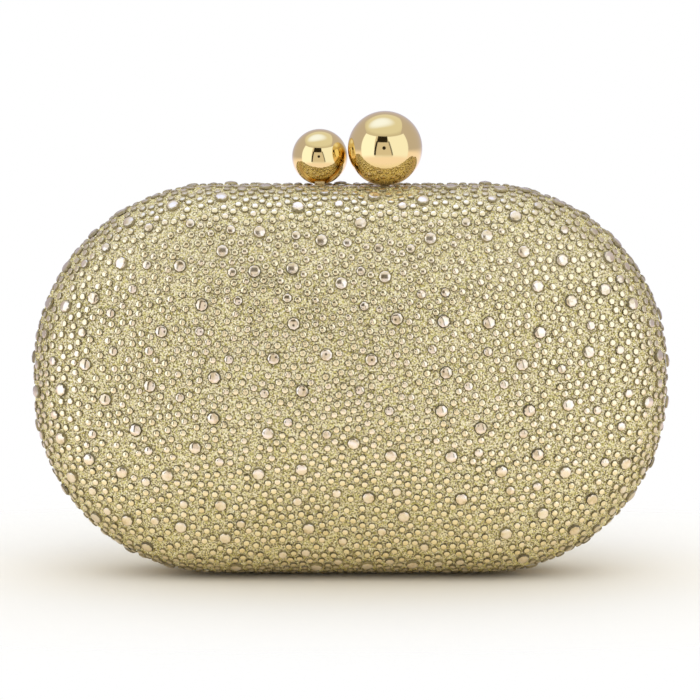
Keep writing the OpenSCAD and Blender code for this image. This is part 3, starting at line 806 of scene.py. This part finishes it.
SKINS = (("glitter_cloth", "cover", 0, cover_t, cover_start, glitter_cloth, "glitter_cloth"),
         ("suede_lining", "lining", lining_inset, lining_inset + lining_t, lining_start, suede, "suede"))
for half, side in HALVES.items():
    for name, node, outer, inner, start, finish, slot in SKINS:
        points, corners, sizes = dome_skin(outer, inner, start)
        piece = make_piece(f"{half}_{name}", stood_up(points, side), corners, sizes, finish, True,
                           flip=side == REAR)
        dress(piece, half, slot, f"{half}_{node}")

# %% [markdown]
# ## Grains of glitter
#
# Between the crystals the cloth isn't smooth: its glitter is coarse, and single grains catch the light.
# A bump in the material can't do this, as it stays flat where crystals are seen from the side. So the
# grains are small pyramids, scattered over the dome and kept off the crystals, each with only a few
# faces.

# %% One skin of grains
GRAIN_SIZE = 0.16, 0.36     # half width, from and to
GRAIN_TIP = 0.45, 1.1       # height, as a share of that
GRAIN_UNEVEN = 0.25         # how much the corners of a base differ
GRAIN_LEAN = 0.35           # how far a grain leans at random, where its axis is 1
GRAIN_TURN = 0.3            # how far a corner strays, as a share of a quarter turn
GRAIN_SINK = 0.12           # millimetres of each grain in the cloth


def grain_piece(name, places, normals, size):
    """Four-sided pyramids with uneven bases: each has its own size, height, lean and turn."""
    count = len(places)
    lean, across, beside = frames_of(normals, GRAIN_LEAN)
    angle = (np.arange(4)[None] + rng.uniform(-GRAIN_TURN, GRAIN_TURN, (count, 4))) * math.pi / 2
    reach = size[:, None] * rng.uniform(1 - GRAIN_UNEVEN, 1 + GRAIN_UNEVEN, (count, 4))
    base = (places[:, None] + across[:, None] * (reach * np.cos(angle))[..., None]
            + beside[:, None] * (reach * np.sin(angle))[..., None] - GRAIN_SINK * normals[:, None])
    tip = places + lean * (size * rng.uniform(*GRAIN_TIP, count))[:, None]
    points = np.concatenate([base, tip[:, None]], 1)
    one = np.array([0, 1, 4, 1, 2, 4, 2, 3, 4, 3, 0, 4, 3, 2, 1, 0])
    corners = (one[None] + 5 * np.arange(count)[:, None]).ravel()
    sizes = np.tile([3, 3, 3, 3, 4], count)
    values = {"tint": np.repeat(rng.uniform(0, 1, count), 5)}
    return make_piece(name, points.reshape(-1, 3), corners, sizes, glitter_grain, False, values)


# %% Scatter the grains
GRAIN_SPACING, GRAIN_SHAKE = 0.64, 0.3      # the shake is a share of the spacing
GRAIN_EDGE, GRAIN_GAP = 0.3, 0.1            # room to the edge of the cloth and to the stones
GRAIN_KEEP = 0.9                            # share of a stone's radius that grains stay off
GRAIN_HIGH = 0.5                            # room that a grain needs over the table and the balls

for half, side in HALVES.items():
    place, normal = on_dome(scattered(GRAIN_SPACING, GRAIN_SHAKE, GRAIN_EDGE))
    packed = np.vstack([cad_stones[half, size] for size in SIZES])
    stones = np.vstack([on_dome(small_places[half])[0], in_half(packed, side)])
    stones_r = np.concatenate([np.full(len(small_places[half]), SMALL_R), packed[:, 6]])
    standing = stood_up(place, side)
    free = (edge_gap(place, stones, stones_r * GRAIN_KEEP) > GRAIN_GAP) & off_the_balls(standing, GRAIN_HIGH)
    piece = grain_piece(f"{half}_glitter_grains", standing[free], stood_up(normal[free], side, True),
                        rng.uniform(*GRAIN_SIZE, free.sum()))
    dress(piece, half, "glitter_cloth")

# %% [markdown]
# ## The two balls
#
# The balls of the clasp are spun from sheet, so they are round to the eye and show the whole studio in
# small. Flat facets would break that picture. Each is one profile turned round its peg: the ball's arc,
# then the wall and the end of the bore that takes the peg.

# %% Turn the balls
BALL_STEPS, BALL_AROUND = 96, 160
SAME_FACE = 0.05                        # points this much farther still belong to the end face
BORE_CLEAR, BORE_DEEPER = 0.05, 0.1     # how much wider and deeper than the peg its bore is


def peg_end(arm, centre):
    """Middle and radius of the end face of a clasp arm's peg: its points nearest to the ball's centre."""
    points = points_of(arm)
    far = np.linalg.norm(points - centre, axis=1)
    end = points[far < far.min() + SAME_FACE]
    middle = (end.min(0) + end.max(0)) / 2
    return middle, np.linalg.norm(end - middle, axis=1).max()


def turned_ball(name, node, arm, half):
    """A profile turned round the peg: an arc from the far pole to the bore, down the bore and across its
    end. The peg's direction is from the middle of its end face to the ball's centre."""
    low, high = (np.array(corner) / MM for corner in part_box(node))
    centre, radius = (low + high) / 2, (high - low).max() / 2
    middle, peg_r = peg_end(arm, centre)
    bore, axis = peg_r + BORE_CLEAR, (centre - middle) / np.linalg.norm(centre - middle)
    bore_end = np.linalg.norm(centre - middle) - BORE_DEEPER
    across = np.cross(axis, [1.0, 0.0, 0.0])
    across /= np.linalg.norm(across)
    arc = np.linspace(0, math.pi - math.asin(bore / radius), BALL_STEPS)[1:]
    reach = np.concatenate([radius * np.sin(arc), [bore]])
    along = np.concatenate([radius * np.cos(arc), [-bore_end]])
    angle = np.arange(BALL_AROUND) * 2 * math.pi / BALL_AROUND
    circle = np.cos(angle)[:, None] * across + np.sin(angle)[:, None] * np.cross(axis, across)
    grid = centre + along[:, None, None] * axis + reach[:, None, None] * circle[None]
    points = np.vstack([grid.reshape(-1, 3), [centre + radius * axis], [centre - bore_end * axis]])
    corners, sizes = closed_grid(len(arc) + 1, BALL_AROUND)
    smooth = np.ones(len(sizes), bool)
    smooth[(len(arc) - 1) * BALL_AROUND:len(arc) * BALL_AROUND] = False
    piece = make_piece(name, points, corners, sizes, polished_gold, smooth)
    print(f"{name}: radius {radius:.2f} mm, bore {bore:.2f} mm, centre {np.round(centre, 2).tolist()}")
    dress(piece, half, "gold", node)


turned_ball("large_turned_ball", "large_ball", "large_ball_arm", "rear")
turned_ball("small_turned_ball", "small_ball", "small_ball_arm", "front")

# %% [markdown]
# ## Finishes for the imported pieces
#
# The frames, arms, leaves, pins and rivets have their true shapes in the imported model, so they stay and
# only get the satin gold. The shells show only inside, at the edge of the lining, and get the moulding's
# pale plastic.

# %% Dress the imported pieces
for name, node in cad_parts.items():
    if name.endswith("_shell"):
        finish = moulding
    elif name.endswith(("frame", "arm", "leaf", "pin", "rivets")):
        finish = satin_gold
    else:
        continue
    node.data.materials.clear()
    node.data.materials.append(finish)
    print("dressed", name)

# %% [markdown]
# ## The studio
#
# Metal and foil show what stands round them, so the look of this bag is mostly the look of the studio.
# The world is white for the camera, as in the photograph. For reflections it is a photographer's room:
# pale walls, a soft box overhead, two white flats in front with a darker gap where the camera stands,
# the legs of its stand and a dark bar. For the cloth it is an even light, stronger from above. All of it
# is a function of direction only, so it slides over the metal as the real room would when the bag is
# turned. The lights are bluish, because gold takes the blue out of them and the photograph's balls show
# them nearly white.

# %% The room that metal shows
DEGREES = 180 / math.pi
WALLS_BELOW, WALLS = (1.12, 1.06, 1.32), (0.62, 0.615, 0.83)
BOX_EDGE, BOX_HIGH_EDGE, BOX_MIDDLE = (0.71, 0.73, 0.86), (0.88, 0.95, 1.13), (1.15, 1.45, 2.7)
LEFT_FLAT, RIGHT_FLAT, CAMERA_GAP = (1.25, 1.44, 1.99), (1.14, 1.29, 1.74), (0.80, 0.795, 0.92)
DARK = (0.03, 0.025, 0.02)

BOX_X, BOX_HALF_W, BOX_TAPER, BOX_BACK = -0.12, 0.97, 0.36, 0.92      # on a ceiling one unit up
MIDDLE_X, MIDDLE_Y, MIDDLE_REACH = -0.2, 0.05, 0.27
BOX_FRONT, BOX_HIGH = 39, 46          # degrees, as is all that follows
FLATS_LEFT, FLATS_RIGHT, FLATS_FOOT, FLATS_TOP, FLATS_MEET = -79.5, 76, -21, 38.5, -10
GAP_LEFT, LEG_TOP = -34, 24
LEFT_LEG, RIGHT_LEG = (-30.2, 0.16, 3.0, -18), (18.2, -0.276, 2.2, -19)
LENS_ACROSS, LENS_UP, LENS_AREA = -3.5, 4, 30
BAR_LEFT, BAR_RIGHT, BAR_FOOT, BAR_TOP = -27, 8, 21, 40


def box_light(tree, x, y, z, elevation):
    """Where the soft box is, and its colour. across and back are places on a ceiling one unit up: the box
    is a trapezium there, and its middle an ellipse that is brighter than its edge."""
    up = z.math("MAXIMUM", 0.001)
    across, back = x / up, y / up
    sides = (abs(across - BOX_X) + back * BOX_TAPER).below(BOX_HALF_W, 0.03)
    where = elevation.above(BOX_FRONT, 1) * sides * back.below(BOX_BACK, 0.05)
    off_x, off_y = across - MIDDLE_X, back - MIDDLE_Y
    middle = (off_x * off_x * 1.2 + off_y * off_y * 2.4).below(MIDDLE_REACH, MIDDLE_REACH)
    edge = tree.mix(elevation.above(BOX_HIGH, 6), BOX_EDGE, BOX_HIGH_EDGE)
    return where, tree.mix(middle, edge, BOX_MIDDLE)


def stand_leg(azimuth, elevation, level_at, slant, half_w, foot):
    """A leg of the camera's stand: a band beside the line azimuth = level_at + slant * elevation. Returns
    how far right of the line a direction is, and the band's mask."""
    right_of = azimuth - (elevation * slant + level_at)
    return right_of, abs(right_of).below(half_w, 0.6) * elevation.within(foot, LEG_TOP, 1)


def studio(tree):
    """Colour of the room by direction: azimuth in degrees from straight ahead of the bag to the right, and
    elevation in degrees from level upwards. Each thing is a mask over the ones before. The gap between
    the flats ends at the right leg."""
    ray = tree.node("ShaderNodeTexCoord", output="Generated")
    x, y, z = (tree.part(ray, axis) for axis in range(3))
    azimuth = x.math("ARCTAN2", y * -1.0) * DEGREES
    elevation = z.math("ARCSINE") * DEGREES
    overhead, box = box_light(tree, x, y, z, elevation)
    flats = azimuth.within(FLATS_LEFT, FLATS_RIGHT, 2)
    flats = flats * elevation.above(FLATS_FOOT, 7) * elevation.below(FLATS_TOP, 1)
    _, left_leg = stand_leg(azimuth, elevation, *LEFT_LEG)
    right_of_leg, right_leg = stand_leg(azimuth, elevation, *RIGHT_LEG)
    gap = azimuth.above(GAP_LEFT, 1) * right_of_leg.below(0, 1)
    off_x, off_y = azimuth - LENS_ACROSS, elevation - LENS_UP
    lens = (off_x * off_x + off_y * off_y).below(LENS_AREA, 8)
    bar = azimuth.within(BAR_LEFT, BAR_RIGHT, 1) * elevation.within(BAR_FOOT, BAR_TOP, 1)
    stand = left_leg.math("MAXIMUM", right_leg * 0.75).math("MAXIMUM", lens) * flats
    light = tree.mix(z.above(-0.1, 0.1), WALLS_BELOW, WALLS)
    light = tree.mix(overhead, light, box)
    light = tree.mix(flats, light, tree.mix(azimuth.above(FLATS_MEET, 2), LEFT_FLAT, RIGHT_FLAT))
    light = tree.mix(flats * gap, light, CAMERA_GAP)
    return tree.mix(stand.math("MAXIMUM", bar), light, DARK)


# %% The world and the lamp
LIGHT_BELOW, LIGHT_ABOVE = (0.88, 0.86, 0.84), (1.27, 1.27, 1.27)     # for the cloth
LAMP_SIZE, LAMP_WATTS, LAMP_PLACE, LAMP_AIM = 1.2, 3, (0.1, -0.75, 1.35), (0, 0, 0.05)

scene = bpy.context.scene
world = scene.world or bpy.data.worlds.new("studio")
scene.world = world
tree = Tree(world)
rays = ("Is Camera Ray", "Is Transmission Ray", "Is Glossy Ray")
by_camera, by_glass, by_gloss = (tree.node("ShaderNodeLightPath", output=ray) for ray in rays)
height = tree.part(tree.node("ShaderNodeTexCoord", output="Generated"), 2)
room = tree.mix(height.above(0.1, 0.5), LIGHT_BELOW, LIGHT_ABOVE)
colour = tree.mix(by_gloss, room, studio(tree))
colour = tree.mix(by_camera.math("MAXIMUM", by_glass), colour, (1, 1, 1))
background = tree.node("ShaderNodeBackground", {}, {"Color": colour, "Strength": 1.0})
tree.node("ShaderNodeOutputWorld", {}, {"Surface": background})
world.cycles.sampling_method = "NONE"
scene.view_settings.view_transform = "Standard"

lamp_data = bpy.data.lights.new("soft_box", "AREA")
lamp_data.shape, lamp_data.size, lamp_data.energy = "SQUARE", LAMP_SIZE, LAMP_WATTS
lamp = bpy.data.objects.new("soft_box", lamp_data)
lamp.location = LAMP_PLACE
lamp.rotation_euler = (Vector(LAMP_AIM) - lamp.location).to_track_quat("-Z", "Y").to_euler()
lamp.visible_glossy = False
scene.collection.objects.link(lamp)
print("world:", len(tree.nodes), "nodes")

# %% [markdown]
# ## The floor
#
# The bag stands on white paper that fades into the white background, so only its shadow shows. The paper is a
# disc, painted darker and warmer near the bag: a painted shadow, and a painted glow of the gold on it. The
# hinge is just above the table, so the front half reaches below the paper as it opens, and the paper clears
# wherever something is close beneath it. Ambient occlusion, turned to look inside, measures that.

# %% The floor
FLOOR_R, FLOOR_SIDES = 0.6, 96
# the paper near the bag is painted darker and warmer: a painted shadow and a painted glow from the gold
PAPER_SHADOW_GLOW, PAPER_FAR = (0.79, 0.74, 0.64), (0.795, 0.785, 0.76)
LONG_WAYS = 0.45, 1, 1      # the bag is longer than deep, so distance counts less along X
SHADOW_GLOW_R, SHADOW_GLOW_SOFT = 0.035, 0.03         # where the painted shadow and glow end, in metres
FADE_R, FADE_SOFT = 0.095, 0.055        # where the paper ends
LOOK_BELOW = 0.04                       # how far down the paper looks for the bag
FREE_BELOW, FREE_SOFT = 0.88, 0.08      # share of free view below, under which the paper is clear


def paper():
    """Paper whose colour goes by the distance from the bag, with a painted shadow and a painted warm glow
    near it, and which is clear far out and where something is close beneath it."""
    made = bpy.data.materials.new("paper_floor")
    tree = Tree(made)
    drawn_in = tree.node("ShaderNodeVectorMath", {"operation": "MULTIPLY"},
                         {0: tree.place(), 1: LONG_WAYS}, output="Vector")
    far = tree.node("ShaderNodeVectorMath", {"operation": "LENGTH"}, {0: drawn_in}, output="Value")
    colour = tree.mix(far.above(SHADOW_GLOW_R, SHADOW_GLOW_SOFT), PAPER_SHADOW_GLOW, PAPER_FAR)
    shader = tree.node("ShaderNodeBsdfPrincipled", {}, {"Base Color": colour, "Roughness": 1.0,
                                                        "Specular IOR Level": 0.0})
    clear = tree.node("ShaderNodeBsdfTransparent", {}, {})
    beneath = tree.node("ShaderNodeAmbientOcclusion", {"inside": True, "samples": 8},
                        {"Distance": LOOK_BELOW}, output="AO")
    share = far.above(FADE_R, FADE_SOFT).math("MAXIMUM", beneath.below(FREE_BELOW, FREE_SOFT))
    mixed = tree.node("ShaderNodeMixShader", {}, {0: share, 1: shader, 2: clear})
    tree.node("ShaderNodeOutputMaterial", {}, {"Surface": mixed})
    return made


floor_points = ring(FLOOR_SIDES, FLOOR_R / MM, 0)
floor = make_piece("paper_floor", floor_points, np.arange(FLOOR_SIDES), [FLOOR_SIDES], paper(), False)

# %% [markdown]
# ## The camera
#
# The photograph was taken from some way off and a little above the bag, so its outline is nearly that of
# a drawing. The lens follows from how wide the picture is at the bag.

# %% The camera
LENS_D, LIFT = 0.9, math.radians(7)     # metres from the target, and angle above it
SENSOR_W, PICTURE_W = 36, 0.2031        # millimetres, and metres at the bag
target = Vector((-0.00015, 0.0, 0.0652))
camera_data = bpy.data.cameras.new("camera")
camera_data.sensor_width = SENSOR_W
camera_data.lens = SENSOR_W * LENS_D / PICTURE_W
camera = bpy.data.objects.new("camera", camera_data)
camera.location = target + LENS_D * Vector((0, -math.cos(LIFT), math.sin(LIFT)))
camera.rotation_euler = (target - camera.location).to_track_quat("-Z", "Y").to_euler()
scene.collection.objects.link(camera)
scene.camera = camera
print(f"lens {camera_data.lens:.0f} mm at {LENS_D} m")
